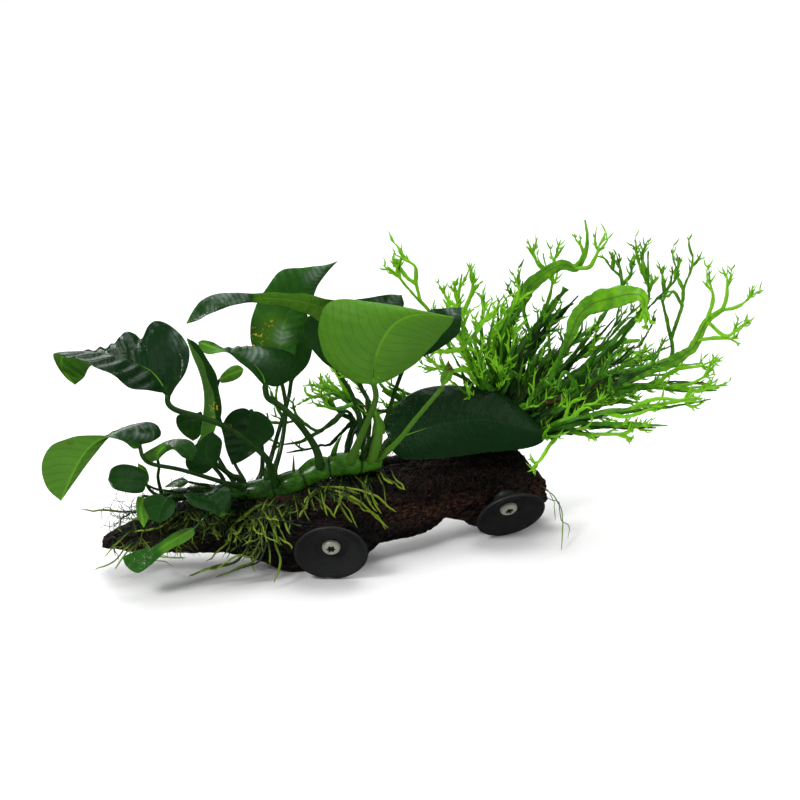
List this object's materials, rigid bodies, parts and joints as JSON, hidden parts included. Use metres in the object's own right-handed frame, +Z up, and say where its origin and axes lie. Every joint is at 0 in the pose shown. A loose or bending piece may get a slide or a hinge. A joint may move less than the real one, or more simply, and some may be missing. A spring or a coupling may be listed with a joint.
{
  "type": "planted driftwood for an aquarium",
  "caption": "Dark driftwood log planted with broad-leaved anubias and lace java fern, held to the glass by black suction cups screwed into the wood.",
  "frame": {"origin": "centre of the whole object's bounding box, on the ground plane under the log's flat belly", "axes": "+X along the log from its blunt thin end to its ragged thick end, +Y away from the side with the suction cups, +Z up"},
  "size_m": [0.3787, 0.1815, 0.1765],
  "materials": {
    "driftwood": "wet black-brown driftwood with reddish-brown grain",
    "rubber": "matte charcoal rubber",
    "steel": "plain stainless steel",
    "anubias_leaf": "waxy dark green leaf, paler beneath",
    "rhizome": "green creeping stem with dark rings",
    "fern_frond": "bright green fern with brown midribs",
    "fern_rhizome": "dark scaly creeping stem",
    "root": "yellow-green to brown roots"
  },
  "bodies": {
    "root": {"anubias_rhizome": "rhizome", "cup_screw_left": "steel", "cup_screw_right": "steel", "driftwood": "driftwood", "fern_frond_back_fork": "fern_frond", "fern_frond_behind_leaf": "fern_frond", "fern_frond_broad": "fern_frond", "fern_frond_crossing": "fern_frond", "fern_frond_cut": "fern_frond", "fern_frond_forked": "fern_frond", "fern_frond_long_right": "fern_frond", "fern_frond_low": "fern_frond", "fern_frond_lower_right": "fern_frond", "fern_frond_mid_fork": "fern_frond", "fern_frond_rear": "fern_frond", "fern_frond_rear_left": "fern_frond", "fern_frond_right": "fern_frond", "fern_frond_side": "fern_frond", "fern_frond_tall": "fern_frond", "fern_frond_upper_back": "fern_frond", "fern_rhizome": "fern_rhizome", "fern_runner": "fern_frond", "fern_tuft_bright": "fern_frond", "fern_tuft_bright_right": "fern_frond", "fern_tuft_left": "fern_frond", "fern_tuft_top_left": "fern_frond", "fern_tuft_top_middle": "fern_frond", "leaf_back_low": "anubias_leaf", "leaf_big_left": "anubias_leaf", "leaf_big_pale": "anubias_leaf", "leaf_big_right": "anubias_leaf", "leaf_centre_left": "anubias_leaf", "leaf_cupped": "anubias_leaf", "leaf_dark_behind": "anubias_leaf", "leaf_dark_lower": "anubias_leaf", "leaf_dark_right": "anubias_leaf", "leaf_dark_upper": "anubias_leaf", "leaf_edge_on": "anubias_leaf", "leaf_far_left": "anubias_leaf", "leaf_hanging_low": "anubias_leaf", "leaf_long_left": "anubias_leaf", "leaf_pale_point": "anubias_leaf", "leaf_pale_sliver": "anubias_leaf", "leaf_round_back": "anubias_leaf", "leaf_round_low": "anubias_leaf", "leaf_round_small": "anubias_leaf", "leaf_sheath": "anubias_leaf", "leaf_small_folded": "anubias_leaf", "leaf_small_pale": "anubias_leaf", "leaf_tall_crescent": "anubias_leaf", "leaf_upright_back": "anubias_leaf", "leaf_withered": "anubias_leaf", "root_hair_right": "root", "root_mass_left": "root", "root_tendrils_low": "root", "root_tuft_middle": "root", "root_tuft_right": "root", "suction_cup_left": "rubber", "suction_cup_right": "rubber"}
  },
  "joints": []
}
